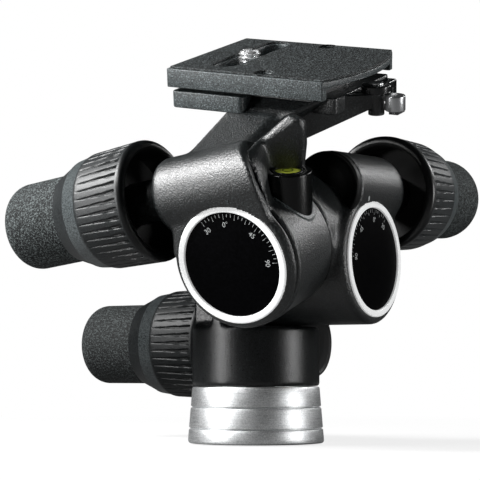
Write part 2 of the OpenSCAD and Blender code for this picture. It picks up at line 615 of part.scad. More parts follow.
module camera_screw() {
  color("silver") side_frame() translate([screw_x, screw_y, 0]) difference() {
    union() {
      translate([0, 0, plate_z0 + 0.6]) cylinder(d = slot_w + 5.6, h = 2.8);
      translate([0, 0, plate_z0 + 3]) cylinder(d = screw_neck_d, h = plate_t - 3 + screw_up / 2);
      translate([0, 0, plate_z1 + 0.1]) cylinder(d = screw_d, h = screw_up - 0.1);
    }
    translate([-20, -screw_slot_w / 2, plate_z1 + screw_up - screw_slot]) cube([40, screw_slot_w, 4]);
    translate([-screw_slot_w / 2, -20, plate_z0]) cube([screw_slot_w, 40, 1.6]);
  }
}

base_ring();
thread_bush();
pan_wheel();
wheel_screws();
pan_column();
pan_worm_cap();
pillar_cap();
spindle_b();
wheel_b();
dial_b();
worm_p();
core_p();
grip_p();
collar_p();
tilt_housing();
bezel_b();
index_b();
tilt_worm_cap();
spindle_a();
wheel_a();
dial_a();
worm_r();
core_r();
grip_r();
collar_r();
gear_housing_a();
hub_a();
bezel_a();
index_a();
level_glass();
worm_l();
core_l();
grip_l();
collar_l();
platform();
platform_bracket();
platform_screws();
lever();
lever_pin();
safety_catch();
plate_body();
plate_pad();
camera_screw();
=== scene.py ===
import math

import bmesh
import bpy
import numpy as np
from mathutils import Matrix, Vector


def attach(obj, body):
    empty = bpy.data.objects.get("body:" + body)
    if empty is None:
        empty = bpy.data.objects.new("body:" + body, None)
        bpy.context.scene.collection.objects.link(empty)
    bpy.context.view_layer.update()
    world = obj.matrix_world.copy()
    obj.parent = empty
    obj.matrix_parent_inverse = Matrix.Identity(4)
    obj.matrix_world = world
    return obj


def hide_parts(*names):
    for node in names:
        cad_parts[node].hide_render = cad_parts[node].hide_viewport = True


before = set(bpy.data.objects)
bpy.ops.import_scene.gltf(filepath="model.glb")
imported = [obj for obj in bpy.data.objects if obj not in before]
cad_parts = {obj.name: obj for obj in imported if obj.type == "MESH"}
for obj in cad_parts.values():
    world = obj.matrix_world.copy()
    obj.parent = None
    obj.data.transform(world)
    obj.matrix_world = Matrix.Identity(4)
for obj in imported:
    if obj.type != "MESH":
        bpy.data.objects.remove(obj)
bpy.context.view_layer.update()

# ---------------------------------------------------------------------------
# Places, in millimetres, as if the head stood level
# ---------------------------------------------------------------------------
TO_METRES = 0.001
# Axes of the two tilts, and the faces of the two dials along them
HUB_Z = 78.9
AXIS_X, AXIS_Z = 27.5, 96.5
DIAL_A, DIAL_B = 63.0, 58.6
FRONT_ANGLE, SIDE_ANGLE = 20, 10
# Hubs: the seam between the neck and the hub behind dial A, the gap in it, and the flange of dial A
SEAM, SEAM_GAP, FLANGE = 28.0, 0.15, 5.0
HUB_A_R, HUB_B_R = 28.0, 27.8
# Dials: the seat that the white ring stands in
SEAT_R, SEAT_DEPTH = 24.3, 2.6
# Worms: distance from the wheel's axis, slope, place along that axis, and each housing's size and reach
WORM_OUT, WORM_SLOPE = 30.2, 17.4
WORM_R_X, WORM_L_Y, WORM_P_Y, WORM_P_Z = 45.4, -49.8, 29.1, 44.2
CASE_R = 16.0
TAIL_P, TAIL_R, TAIL_L = 11.2, 15.0, 14.0
# Level, platform, plate, lever, catch and camera screw
LEVEL_X, LEVEL_Y, LEVEL_Z = 40.6, -38.3, 131.2
RAIL_TOP, RAIL_UNDER = 155.7, 148.5
PLATE_TOP, PLATE_UNDER = 166.2, 157.4
PLATE_L, PLATE_R, PLATE_F, PLATE_B, BULGE = -23.0, 50.5, -26.0, 42.5, 8.0
LEVER_X, LEVER_Y = 59.4, 6.0
LEVER_UNDER, LEVER_TOP = 155.65, 159.0
CATCH_X = 68.0
FOOT_UNDER, FOOT_TOP = 147.1, 149.3
SCREW_X, SCREW_Y = -2.0, 9.0


def shift(x, y, z):
    return Matrix.Translation((x, y, z))


def turn(degrees, axis):
    return Matrix.Rotation(math.radians(degrees), 4, axis)


# The photographed tilts, as the stages stand at rest
TILT = shift(0, 0, HUB_Z) @ turn(FRONT_ANGLE, "X") @ shift(0, 0, -HUB_Z)
SIDE = TILT @ shift(AXIS_X, 0, AXIS_Z) @ turn(SIDE_ANGLE, "Y") @ shift(-AXIS_X, 0, -AXIS_Z)
# Worm frames: local Z runs out to the knob
ACROSS = math.sin(math.radians(WORM_SLOPE)) * WORM_OUT
ALONG = math.cos(math.radians(WORM_SLOPE)) * WORM_OUT
WORM_P = shift(0, WORM_P_Y, WORM_P_Z) @ turn(-90, "Y")
WORM_R = shift(WORM_R_X, ACROSS, HUB_Z + ALONG) @ turn(-90 - WORM_SLOPE, "X")
WORM_L = shift(AXIS_X - ACROSS, WORM_L_Y, AXIS_Z + ALONG) @ turn(-90 - WORM_SLOPE, "Y")
# Dial frames: local Z runs out of the dial, local Y up, local X to the reader's right
FACE_A = shift(AXIS_X, 0, AXIS_Z) @ turn(90, "X")
FACE_B = shift(0, 0, HUB_Z) @ Matrix(((0, 0, 1, 0), (1, 0, 0, 0), (0, 1, 0, 0), (0, 0, 0, 1)))


# ---------------------------------------------------------------------------
# Shader writing: one wrapped socket, one maker of nodes
# ---------------------------------------------------------------------------
class Wire:
    """A shader output that takes part in sums."""

    def __init__(self, finish, socket):
        self.finish, self.socket = finish, socket

    def _sum(self, operation, *values):
        return self.finish.node("ShaderNodeMath", {"operation": operation}, *values)

    def __add__(self, other): return self._sum("ADD", self, other)
    def __radd__(self, other): return self._sum("ADD", other, self)
    def __sub__(self, other): return self._sum("SUBTRACT", self, other)
    def __rsub__(self, other): return self._sum("SUBTRACT", other, self)
    def __mul__(self, other): return self._sum("MULTIPLY", self, other)
    def __rmul__(self, other): return self._sum("MULTIPLY", other, self)
    def __gt__(self, other): return self._sum("GREATER_THAN", self, other)
    def __lt__(self, other): return self._sum("LESS_THAN", self, other)


class Finish:
    """A material under construction."""

    def __init__(self, name, color, roughness, metallic=0.0, **fixed):
        self.material = bpy.data.materials.new(name)
        self.material.use_nodes = True
        self.tree = self.material.node_tree
        self.shader = self.tree.nodes["Principled BSDF"]
        self.set("Base Color", (*color, 1.0))
        self.set("Roughness", roughness)
        self.set("Metallic", metallic)
        for key, value in fixed.items():
            self.set(key.replace("_", " "), value)
        self.place = self.node("ShaderNodeTexCoord", {}, out="Object")

    def set(self, name, value):
        socket = self.shader.inputs[name]
        if isinstance(value, Wire):
            self.tree.links.new(value.socket, socket)
        else:
            socket.default_value = value

    def node(self, kind, settings, *values, out=0, **named):
        made = self.tree.nodes.new(kind)
        for key, value in settings.items():
            if key == "stops":
                ramp = made.color_ramp
                while len(ramp.elements) < len(value):
                    ramp.elements.new(0.5)
                for element, (at, color) in zip(ramp.elements, value):
                    element.position = at
                    element.color = (*color, 1.0) if len(color) == 3 else color
            else:
                setattr(made, key, value)
        pairs = list(enumerate(values)) + [(k.replace("_", " "), v) for k, v in named.items()]
        for key, value in pairs:
            if isinstance(value, Wire):
                self.tree.links.new(value.socket, made.inputs[key])
            elif value is not None:
                made.inputs[key].default_value = value
        return Wire(self, made.outputs[out])

    def grain(self, scale, detail=2.0, roughness=0.5, where=None):
        return self.node("ShaderNodeTexNoise", {}, Vector=where or self.place,
                         Scale=scale, Detail=detail, Roughness=roughness)

    def offset(self, middle):
        """The way from a fixed point of the object, in metres."""
        return self.node("ShaderNodeVectorMath", {"operation": "SUBTRACT"}, self.place, tuple(middle))

    def length(self, way):
        return self.node("ShaderNodeVectorMath", {"operation": "LENGTH"}, way, out="Value")

    def cells(self, scale):
        return self.node("ShaderNodeTexVoronoi", {"feature": "F1"}, Vector=self.place, Scale=scale)

    def ramp(self, value, *stops):
        return self.node("ShaderNodeValToRGB", {"stops": stops}, value)

    def blend(self, factor, a, b):
        made = self.tree.nodes.new("ShaderNodeMix")
        made.data_type = "RGBA"
        for key, value in ((0, factor), (6, a), (7, b)):
            if isinstance(value, Wire):
                self.tree.links.new(value.socket, made.inputs[key])
            else:
                made.inputs[key].default_value = (*value, 1.0) if key else value
        return Wire(self, made.outputs[2])

    def relief(self, height, distance, strength):
        bump = self.node("ShaderNodeBump", {}, Height=height, Distance=distance, Strength=strength)
        self.set("Normal", bump)


def dimmed(color, share):
    return tuple(c * share for c in color)


def cast_paint(name, dark, light, roughness, grain=2600, height=0.00006, shine=0.6, sparkle=0.16):
    """Fine-textured paint over a casting: a tight grain with glints and faint cloudy wear."""
    f = Finish(name, light, roughness, Specular_IOR_Level=shine)
    fine = f.grain(grain, 2.0, 0.55)
    cloud = f.grain(70, 2.0)
    mottle = fine * 0.9 + cloud * 0.1
    f.set("Base Color", f.ramp(mottle, (0.38, dark), (0.56, light), (0.68, dimmed(light, 3.0))))
    f.set("Roughness", roughness - sparkle / 2 + fine * sparkle)
    f.relief(fine, height, 0.8)
    return f.material


def foam_rubber(name, light):
    """Speckled foam: pale flecks on near black, with open cells; light scales every shade, as painted light
    or shade.
    """
    f = Finish(name, (0.05, 0.056, 0.057), 0.8, Specular_IOR_Level=0.3)
    cells = f.cells(1500.0)
    fleck = f.grain(1350, 3.0, 0.65)
    shades = (0.001, 0.0013, 0.0014), (0.016, 0.019, 0.0195), (0.13, 0.15, 0.15)
    stops = [(at, dimmed(shade, light)) for at, shade in zip((0.38, 0.5, 0.64), shades)]
    f.set("Base Color", f.ramp(fleck, *stops))
    f.set("Roughness", 0.72 + fleck * 0.2)
    f.relief(fleck + cells * 0.4, 0.00035, 0.7)
    return f.material


# Where the collar's finish changes: the band painted brighter as a highlight, the bore painted dark as shade,
# and the lip; in metres along and out from the worm's axis
BAND_START, BAND_END = 0.0606, 0.0674
COLLAR_BORE_R, COLLAR_BORE_END = 0.0226, 0.0527
LIP_END = 0.0368


def moulded_collar(name, middle, direction, light):
    """Moulded plastic: satin ribs, a smooth band painted brighter as a highlight, a glossy lip painted near
    black, and a bore painted dark as shade; light scales the whole finish, as painted light or shade.
    """
    f = Finish(name, (0.04, 0.046, 0.048), 0.4, Specular_IOR_Level=0.45 * light)
    way = f.offset(middle)
    along = f.node("ShaderNodeVectorMath", {"operation": "DOT_PRODUCT"}, way, tuple(direction), out="Value")
    far = f.length(way)
    out = far * far - along * along
    # The band: its colour painted brighter, as a highlight
    band = (along > BAND_START) * (along < BAND_END)
    # The bore: its colour painted dark, as shade
    inside = (out < COLLAR_BORE_R ** 2) * (along < COLLAR_BORE_END)
    lip = (along < LIP_END) * (1 - inside)
    fine = f.grain(2000, 3.0, 0.6)
    shades = (0.002, 0.0025, 0.003), (0.024, 0.028, 0.029), (0.01, 0.012, 0.013), (0.1, 0.115, 0.118)
    dark, satin, dull, bright = [dimmed(shade, light) for shade in shades]
    plain = f.ramp(fine, (0.36, dark), (0.62, satin))
    band_painted_sheen = f.ramp(fine, (0.36, dull), (0.62, bright))
    color = f.blend(band, plain, band_painted_sheen)
    color = f.blend(lip, color, (0.003, 0.0036, 0.004))
    f.set("Base Color", f.blend(inside, color, (0.0012, 0.0014, 0.0015)))
    f.set("Roughness", 0.36 - band * 0.08 - lip * 0.08 + inside * 0.4 + fine * 0.12)
    f.relief(fine * (1 - inside) * (1 - lip * 0.7), 0.00008, 0.5)
    return f.material


def turned_metal():
    """Lathe-turned aluminium: fine lines round the base over a bead-blasted sparkle."""
    f = Finish("bright turned aluminium", (0.72, 0.735, 0.745), 0.24, 1.0)
    spread = f.node("ShaderNodeMapping", {"vector_type": "POINT"}, f.place, Scale=(1.0, 1.0, 40.0))
    lines = f.grain(160, 4.0, 0.7, spread)
    fine = f.grain(1900, 2.0, 0.6)
    mottle = lines * 0.55 + fine * 0.45
    f.set("Base Color", f.ramp(mottle, (0.34, (0.4, 0.415, 0.425)), (0.62, (0.9, 0.91, 0.915))))
    f.set("Roughness", 0.3 + lines * 0.14 + fine * 0.14)
    f.relief(lines + fine * 0.8, 0.00005, 0.7)
    return f.material


def satin_metal(name, color, roughness, metallic=1.0, scale=2400, height=0.00002, painted_glow=0.0):
    """Small bright parts: an even colour under a fine grain, and a glow as painted light where one is asked
    for.
    """
    f = Finish(name, color, roughness, metallic, Emission_Strength=painted_glow)
    fine = f.grain(scale, 2.0, 0.6)
    shade = f.ramp(fine, (0.3, dimmed(color, 0.86)), (0.7, color))
    f.set("Base Color", shade)
    f.set("Emission Color", shade)
    f.set("Roughness", roughness - 0.04 + fine * 0.08)
    f.relief(fine, height, 0.4)
    return f.material


def dial_black():
    """The deep black disc of a dial, with a trace of dust."""
    f = Finish("smooth dial black", (0.0035, 0.0035, 0.004), 0.4, Specular_IOR_Level=0.02)
    dust = f.grain(900, 2.0, 0.5)
    f.set("Base Color", f.ramp(dust, (0.35, (0.0008, 0.0008, 0.001)), (0.75, (0.002, 0.002, 0.0025))))
    f.set("Roughness", 0.34 + dust * 0.12)
    return f.material


def white_print():
    """Printed figures and ticks, a little worn."""
    f = Finish("white print", (0.72, 0.73, 0.73), 0.5)
    worn = f.grain(1500, 3.0, 0.6)
    f.set("Base Color", f.ramp(worn, (0.25, (0.2, 0.21, 0.21)), (0.55, (0.5, 0.52, 0.52))))
    return f.material


def level_fluid():
    """Coloured fluid behind clear plastic: paler in a ring between the bubble and the rim, and glowing a
    little as painted light.
    """
    f = Finish("yellow-green level fluid with painted glow", (0.62, 0.7, 0.06), 0.08,
               Coat_Weight=0.6, Coat_Roughness=0.03, Emission_Strength=0.08)
    away = f.length(f.offset(SIDE @ Vector((LEVEL_X, LEVEL_Y, LEVEL_Z)) * TO_METRES))
    cloud = f.grain(400, 2.0)
    stops = (0.25, (0.34, 0.42, 0.03)), (0.62, (0.62, 0.7, 0.09)), (0.9, (0.3, 0.36, 0.03))
    fluid = f.ramp(away * 130.0 + cloud * 0.12, *stops)
    f.set("Base Color", fluid)
    f.set("Emission Color", fluid)
    return f.material


def grained_rubber():
    """The plate's pad: a tight pebbled grain."""
    f = Finish("fine-grained pad rubber", (0.03, 0.034, 0.035), 0.62, Specular_IOR_Level=0.4)
    cells = f.cells(1300.0)
    fleck = f.grain(1900, 3.0, 0.65)
    stops = (0.36, (0.0008, 0.001, 0.001)), (0.5, (0.008, 0.0095, 0.01)), (0.62, (0.085, 0.098, 0.1))
    f.set("Base Color", f.ramp(fleck * 0.6 + cells * 0.4, *stops))
    f.set("Roughness", 0.5 + fleck * 0.2)
    f.relief(cells + fleck, 0.0003, 0.8)
    return f.material


# name, dark, light, roughness, then grain, height, shine and sparkle where they differ
PAINT = cast_paint("textured charcoal paint", (0.0006, 0.0008, 0.0009), (0.0105, 0.013, 0.0135),
                   0.38, 1500, 0.0003, 0.9, 0.34)
# The pan casting's paint: smoother, and painted darker than the other castings, as shade
PAN_PAINT_WITH_PAINTED_SHADE = cast_paint("smoother column paint with painted shade", (0.0006, 0.0008, 0.0009), (0.005, 0.006, 0.0065),
                          0.31, 2000, 0.00012, 0.5, 0.2)
CAP_PAINT = cast_paint("dark cap paint", (0.0002, 0.0003, 0.0003), (0.001, 0.0013, 0.0014),
                       0.5, shine=0.2)
PLATE_PAINT = cast_paint("satin plate paint", (0.016, 0.02, 0.021), (0.07, 0.083, 0.086),
                         0.4, 1900, 0.00018)
LEVER_BLACK = cast_paint("satin lever black", (0.0015, 0.002, 0.002), (0.006, 0.007, 0.0075),
                         0.25, 2500, 0.00003)
CORE_BLACK = cast_paint("moulded core black", (0.001, 0.0012, 0.0014), (0.003, 0.0036, 0.004),
                        0.5, shine=0.2)
BOSS_BLACK = cast_paint("glossy boss black", (0.0003, 0.0004, 0.0004), (0.002, 0.0024, 0.0025),
                        0.22, 1500, 0.0001, 0.4)
RUBBER = foam_rubber("speckled foam rubber", 1.0)
# The pan knob's foam: the same rubber painted darker, as shade
PAINTED_SHADE_RUBBER = foam_rubber("foam rubber with painted shade", 0.45)
PAD = grained_rubber()
BASE_METAL = turned_metal()
# The white dial ring glows a little, as painted light
RING = satin_metal("satin white dial ring with painted glow", (0.95, 0.96, 0.96), 0.4, 0.0, painted_glow=0.3)
STEEL = satin_metal("turned steel", (0.93, 0.94, 0.95), 0.24)
SCREW = satin_metal("bright screw steel", (0.97, 0.975, 0.98), 0.22, 0.75)
CATCH = satin_metal("bright catch metal", (0.6, 0.61, 0.62), 0.3, 0.9, 1700, 0.00004)
BRONZE = satin_metal("gear bronze", (0.5, 0.33, 0.13), 0.35)
BLACK = dial_black()
WHITE = white_print()
FLUID = level_fluid()


# ---------------------------------------------------------------------------
# Mesh makers, in millimetres
# ---------------------------------------------------------------------------
def mesh_of(bm, name="part"):
    """The finished mesh of a bmesh, with its faces turned outwards."""
    bmesh.ops.recalc_face_normals(bm, faces=bm.faces)
    mesh = bpy.data.meshes.new(name)
    bm.to_mesh(mesh)
    bm.free()
    return mesh


def soften(points, radius, steps=4):
    """A closed outline with its corners rounded; radius is one number or one for each corner."""
    out = []
    count = len(points)
    for i, p in enumerate(points):
        r = radius[i] if isinstance(radius, (list, tuple)) else radius
        p = Vector(p)
        a, b = Vector(points[i - 1]) - p, Vector(points[(i + 1) % count]) - p
        if r <= 0 or a.length < 1e-6 or b.length < 1e-6:
            out.append(tuple(p))
            continue
        angle = a.angle(b)
        if angle > math.radians(172):
            out.append(tuple(p))
            continue
        cut = min(r / math.tan(angle / 2), 0.45 * a.length, 0.45 * b.length)
        r = cut * math.tan(angle / 2)
        start, end = p + a.normalized() * cut, p + b.normalized() * cut
        centre = p + (a.normalized() + b.normalized()).normalized() * (r / math.sin(angle / 2))
        u, v = start - centre, end - centre
        sweep = u.angle(v)
        for k in range(steps + 1):
            t = k / steps
            w = (u * math.sin((1 - t) * sweep) + v * math.sin(t * sweep)) / math.sin(sweep)
            out.append(tuple(centre + w))
    return out


def round_points(r, seg):
    return [(r * math.cos(2 * math.pi * k / seg), r * math.sin(2 * math.pi * k / seg)) for k in range(seg)]


def arc_points(x, y, r, angles):
    return [(x + r * math.cos(math.radians(a)), y + r * math.sin(math.radians(a))) for a in angles]


def lathe(outline, seg=160):
    """A closed outline of (radius, height) turned about local Z."""
    bm = bmesh.new()
    rings = []
    for r, z in outline:
        around = [(0, 0)] if abs(r) < 1e-6 else round_points(r, seg)
        rings.append([bm.verts.new((x, y, z)) for x, y in around])
    for low, high in zip(rings, rings[1:] + rings[:1]):
        if len(low) == 1 and len(high) == 1:
            continue
        for k in range(seg):
            n = (k + 1) % seg
            if len(low) == 1:
                bm.faces.new((low[0], high[k], high[n]))
            elif len(high) == 1:
                bm.faces.new((low[k], low[n], high[0]))
            else:
                bm.faces.new((low[k], low[n], high[n], high[k]))
    return mesh_of(bm)


def block(x0, y0, z0, x1, y1, z1):
    bm = bmesh.new()
    middle = shift((x0 + x1) / 2, (y0 + y1) / 2, (z0 + z1) / 2)
    bmesh.ops.create_cube(bm, size=1.0, matrix=middle @ Matrix.Diagonal((x1 - x0, y1 - y0, z1 - z0, 1)))
    return mesh_of(bm)


def hull(points):
    """The tightest skin round some points."""
    bm = bmesh.new()
    verts = [bm.verts.new(p) for p in points]
    bmesh.ops.convex_hull(bm, input=verts)
    loose = [v for v in bm.verts if not v.link_faces]
    bmesh.ops.delete(bm, geom=loose, context="VERTS")
    return mesh_of(bm)


def corners(x0, y0, z0, x1, y1, z1):
    return [(x, y, z) for x in (x0, x1) for y in (y0, y1) for z in (z0, z1)]


def evaluated(ob):
    """The object's mesh with its modifiers applied; the object goes."""
    depsgraph = bpy.context.evaluated_depsgraph_get()
    depsgraph.update()
    mesh = bpy.data.meshes.new_from_object(ob.evaluated_get(depsgraph), depsgraph=depsgraph)
    bpy.data.objects.remove(ob)
    return mesh


def loose_object(data, name="work"):
    """An object at the origin, as every finished piece is."""
    ob = bpy.data.objects.new(name, data)
    bpy.context.scene.collection.objects.link(ob)
    return ob


def trimmed(mesh, operation, *others):
    """A mesh cut or kept by other loose objects, which go."""
    ob = loose_object(mesh)
    for other in others:
        m = ob.modifiers.new("trim", "BOOLEAN")
        m.operation, m.object, m.solver = operation, other, "EXACT"
    mesh = evaluated(ob)
    for other in others:
        bpy.data.objects.remove(other)
    return mesh


def joined(*shapes):
    """Meshes, or pairs of mesh and place, put together in one bmesh."""
    bm = bmesh.new()
    for shape in shapes:
        mesh, matrix = shape if isinstance(shape, tuple) else (shape, None)
        copy = mesh.copy()
        if matrix is not None:
            copy.transform(matrix)
        bm.from_mesh(copy)
    return bm


VOXEL = 0.62
SMALLEST_SHELL = 400


def shells(bm):
    """The groups of vertices that hang together."""
    seen = set()
    for v in bm.verts:
        if v.index in seen:
            continue
        stack, found = [v], []
        seen.add(v.index)
        while stack:
            w = stack.pop()
            found.append(w)
            for e in w.link_edges:
                o = e.other_vert(w)
                if o.index not in seen:
                    seen.add(o.index)
                    stack.append(o)
        yield found


def casting(*shapes, fillet, edge):
    """Solids grown together as a casting is: inner corners filled, outer edges eased."""
    bm = joined(*shapes)
    mesh = bpy.data.meshes.new("cast")
    bm.to_mesh(mesh)
    bm.free()
    ob = loose_object(mesh)

    def remesh():
        m = ob.modifiers.new("grow", "REMESH")
        m.mode, m.voxel_size, m.adaptivity = "VOXEL", VOXEL, 0.0

    def swell(amount):
        m = ob.modifiers.new("swell", "DISPLACE")
        m.mid_level, m.strength, m.direction = 0.0, amount, "NORMAL"

    for amount in (fillet, -fillet - edge, edge):
        remesh()
        swell(amount)
    m = ob.modifiers.new("ease", "SMOOTH")
    m.factor, m.iterations = 0.5, 5
    mesh = evaluated(ob)
    bm = bmesh.new()
    bm.from_mesh(mesh)
    small = [v for shell in shells(bm) if len(shell) < SMALLEST_SHELL for v in shell]
    if small:
        bmesh.ops.delete(bm, geom=small, context="VERTS")
    return mesh_of(bm)


def sink_face(mesh, matrix, face):
    """Presses the round of a dial face down to make the seat of its ring."""
    co = np.empty(len(mesh.vertices) * 3)
    mesh.vertices.foreach_get("co", co)
    m = np.array(matrix.inverted())
    local = co.reshape(-1, 3) @ m[:3, :3].T + m[:3, 3]
    inside = (np.hypot(local[:, 0], local[:, 1]) < SEAT_R) & (local[:, 2] > face - 6.0)
    local[inside, 2] = np.minimum(local[inside, 2], face - SEAT_DEPTH)
    m = np.array(matrix)
    co = local @ m[:3, :3].T + m[:3, 3]
    mesh.vertices.foreach_set("co", co.ravel())
    mesh.update()


def slab(outlines, z0, z1, bevel):
    """A plate from closed outlines, holes included, with eased edges."""
    curve = bpy.data.curves.new("slab", "CURVE")
    curve.dimensions = "2D"
    curve.fill_mode = "BOTH"
    curve.extrude = (z1 - z0) / 2 - bevel
    curve.bevel_depth = bevel
    curve.bevel_resolution = 3
    curve.offset = -bevel
    for outline in outlines:
        spline = curve.splines.new("POLY")
        spline.points.add(len(outline) - 1)
        for point, (x, y) in zip(spline.points, outline):
            point.co = (x, y, 0, 1)
        spline.use_cyclic_u = True
    mesh = evaluated(loose_object(curve))
    mesh.transform(shift(0, 0, (z0 + z1) / 2))
    bm = bmesh.new()
    bm.from_mesh(mesh)
    bmesh.ops.remove_doubles(bm, verts=bm.verts, dist=0.001)
    return mesh_of(bm)


def words(text, size, matrix):
    """Upright figures for a dial, as thin solids."""
    curve = bpy.data.curves.new("figure", "FONT")
    curve.body = text
    curve.size = size
    curve.align_x = curve.align_y = "CENTER"
    curve.extrude = 0.02
    mesh = evaluated(loose_object(curve))
    mesh.transform(matrix)
    return mesh


def piece(name, mesh, body, slot, material, *replaced, matrix=None, angle=35, flat=False):
    """A finished piece: taken to metres in its place, with its finish, on its body."""
    scale = Matrix.Scale(TO_METRES, 4)
    mesh.transform(scale @ matrix if matrix is not None else scale)
    mesh.name = name
    mesh.materials.clear()
    mesh.materials.append(material)
    mesh.polygons.foreach_set("use_smooth", [not flat] * len(mesh.polygons))
    mesh.polygons.foreach_set("material_index", [0] * len(mesh.polygons))
    if angle < 180:
        mesh.set_sharp_from_angle(angle=math.radians(angle))
    ob = loose_object(mesh, name)
    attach(ob, body)
    if replaced:
        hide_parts(*replaced)


# ---------------------------------------------------------------------------
# Geometry Nodes: one tree that sets a shape round a circle
# ---------------------------------------------------------------------------
def ring_tree():
    """Copies the object's own mesh round local Z, one step of angle at a time."""
    tree = bpy.data.node_groups.new("set round a circle", "GeometryNodeTree")
    face = tree.interface
    face.new_socket("Geometry", in_out="INPUT", socket_type="NodeSocketGeometry")
    for label, kind in (("Count", "Int"), ("First angle", "Float"), ("Step", "Float"),
                        ("Weld distance", "Float"), ("Finish", "Material")):
        face.new_socket(label, in_out="INPUT", socket_type="NodeSocket" + kind)
    face.new_socket("Geometry", in_out="OUTPUT", socket_type="NodeSocketGeometry")
    add, link = tree.nodes.new, tree.links.new
    inputs, output = add("NodeGroupInput"), add("NodeGroupOutput")
    points, index = add("GeometryNodePoints"), add("GeometryNodeInputIndex")
    times, plus, spin = add("ShaderNodeMath"), add("ShaderNodeMath"), add("ShaderNodeCombineXYZ")
    times.operation, plus.operation = "MULTIPLY", "ADD"
    place, real = add("GeometryNodeInstanceOnPoints"), add("GeometryNodeRealizeInstances")
    weld, paint = add("GeometryNodeMergeByDistance"), add("GeometryNodeSetMaterial")
    link(inputs.outputs["Count"], points.inputs["Count"])
    link(index.outputs[0], times.inputs[0])
    link(inputs.outputs["Step"], times.inputs[1])
    link(times.outputs[0], plus.inputs[0])
    link(inputs.outputs["First angle"], plus.inputs[1])
    link(plus.outputs[0], spin.inputs["Z"])
    link(points.outputs[0], place.inputs["Points"])
    link(inputs.outputs["Geometry"], place.inputs["Instance"])
    link(spin.outputs[0], place.inputs["Rotation"])
    link(place.outputs[0], real.inputs[0])
    link(real.outputs[0], weld.inputs[0])
    link(inputs.outputs["Weld distance"], weld.inputs["Distance"])
    link(weld.outputs[0], paint.inputs[0])
    link(inputs.outputs["Finish"], paint.inputs["Material"])
    link(paint.outputs[0], output.inputs[0])
    return tree


RING_TREE = ring_tree()


def set_round(mesh, count, first, step, material, weld=0.0):
    """The tree's result as a plain mesh; angles in radians."""
    ob = loose_object(mesh)
    modifier = ob.modifiers.new("set round", "NODES")
    modifier.node_group = RING_TREE
    keys = {item.name: item.identifier for item in RING_TREE.interface.items_tree if item.in_out == "INPUT"}
    values = {"Count": count, "First angle": first, "Step": step, "Weld distance": weld, "Finish": material}
    for label, value in values.items():
        modifier[keys[label]] = value
    ob.update_tag()
    return evaluated(ob)


# ---------------------------------------------------------------------------
# Base
# ---------------------------------------------------------------------------
BASE_R, BASE_TOP_R, BASE_H = 30.0, 28.0, 24.5
BASE_BORE_R, SPIGOT_R, SPIGOT_TOP = 8.02, 23.9, 39.9


def base_side(z):
    """The radius of the base, which narrows upwards, at a height."""
    return BASE_R - (BASE_R - BASE_TOP_R) * z / BASE_H


def groove(z, depth=0.75, half=0.42):
    """A turned groove, from its lower shoulder up."""
    low, high = z - half - 0.5, z + half + 0.5
    shoulder, floor = base_side(z) - 0.12, base_side(z) - depth
    return [(base_side(low), low), (shoulder, z - half), (floor, z - 0.12),
            (floor, z + 0.12), (shoulder, z + half), (base_side(high), high)]


def make_base():
    outline = [(BASE_BORE_R, 0.0), (BASE_BORE_R, 14.0), (BASE_BORE_R, SPIGOT_TOP), (SPIGOT_R, SPIGOT_TOP),
               (SPIGOT_R, BASE_H), (27.5, BASE_H), (27.75, BASE_H - 0.1), (base_side(23.8), 23.8)]
    outline += groove(15.7)[::-1] + groove(6.4)[::-1]
    outline += [(base_side(1.2), 1.2), (29.7, 0.5), (29.2, 0.06), (28.6, 0.0)]
    outline += [(10.0, 0.0), (9.2, 0.4), (8.4, 0.4)]
    piece("base_turned", lathe(outline, 256), "base", "base_metal", BASE_METAL, "base_ring", angle=28)


# ---------------------------------------------------------------------------
# Worm housings, castings
# ---------------------------------------------------------------------------
def case(tail, edge_r=0.0):
    """A worm housing: a round body with an eased mouth, and the shaft's neck towards the knob."""
    outline = [(0, -tail), (CASE_R - edge_r, -tail)]
    if edge_r:
        outline += arc_points(CASE_R - edge_r, -tail + edge_r, edge_r, range(-75, 1, 15))
    else:
        outline += [(CASE_R, -tail)]
    outline += arc_points(CASE_R - 4, 24, 4, range(0, 91, 15))
    outline += [(9, 28), (9, 55), (0, 55)]
    return lathe(outline, 96)


def dished_cap(tail):
    """A dished round cap that closes the tail of a worm housing."""
    outline = [(0, -1.9), (9.5, -2.0), (13.4, -2.6), (14.4, -3.2), (15.1, -3.1), (15.6, -2.4),
               (15.7, -0.02), (0, -0.02)]
    return lathe(soften([(r, z - tail) for r, z in outline], [0, 3, 2, 0.5, 0.4, 0.5, 0, 0]))


def make_pan_stage():
    column = lathe([(0, 24.8), (28, 24.8), (28, 50.7), (0, 50.7)])
    pillar = block(-21, -18.5, 44, -0.4, 18.5, HUB_Z)
    plan = (-6.5, -27.2), (-0.4, -27.9), (-0.4, 27.9), (-6.5, 27.2)
    shoulder = hull([(x, y, z) for x, y in plan for z in (44, HUB_Z)])
    hub = lathe([(0, -21), (22.6, -21), (23.6, -20), (23.6, -6.5),
                 (HUB_B_R, -3.5), (HUB_B_R, -0.4), (0, -0.4)])
    mesh = casting(column, (case(TAIL_P), WORM_P), pillar, shoulder, (hub, FACE_B), fillet=1.6, edge=0.5)
    piece("pan_casting", mesh, "pan_stage", "cast_paint", PAN_PAINT_WITH_PAINTED_SHADE, "pan_column", angle=180)
    piece("pan_tail_cap", dished_cap(TAIL_P), "pan_stage", "cap_paint", CAP_PAINT, "pan_worm_cap",
          matrix=WORM_P)
    outline = [(0, -22.2), (8.6, -22.2), (9.9, -21.0), (9.9, -18.0), (0, -18.0)]
    cover = lathe(soften(outline, [0, 0.6, 0.4, 0, 0]), 128)
    piece("pillar_cover", cover, "pan_stage", "cap_paint", CAP_PAINT, "pillar_cap", matrix=FACE_B)


